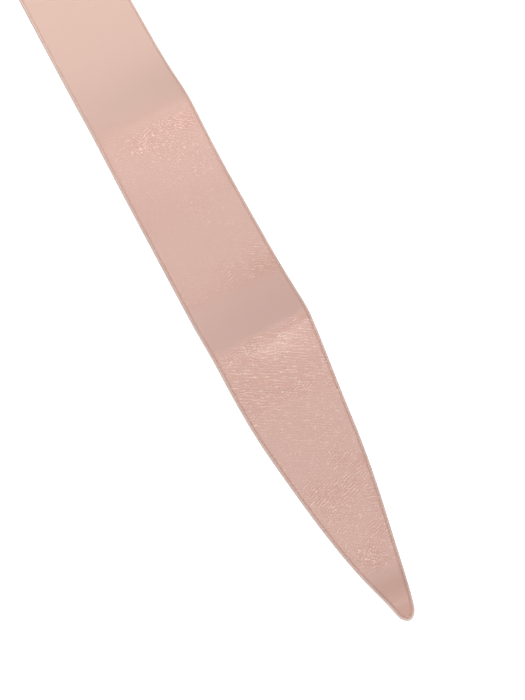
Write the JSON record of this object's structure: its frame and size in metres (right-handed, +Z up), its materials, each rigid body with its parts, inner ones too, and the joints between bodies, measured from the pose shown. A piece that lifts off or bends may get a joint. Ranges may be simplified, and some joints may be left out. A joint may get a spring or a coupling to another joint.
{
  "type": "sash belt",
  "caption": "Wide self-tie sash belt of glossy blush leather, laid out straight, with a stitched edge, tapered pointed ends and soft fold creases across it.",
  "frame": {"origin": "on the surface that the strip lies on, under the middle of its box", "axes": "+X along the strip towards the point that the picture shows; +Y across it, towards the picture's right; +Z up, the finished upper face"},
  "size_m": [1.9928, 0.075, 0.0109],
  "materials": {
    "blush_leather": "glossy, finely crinkled, with a tone-on-tone edge stitch"
  },
  "bodies": {
    "root": {"sash_strip": "blush_leather"}
  },
  "joints": []
}
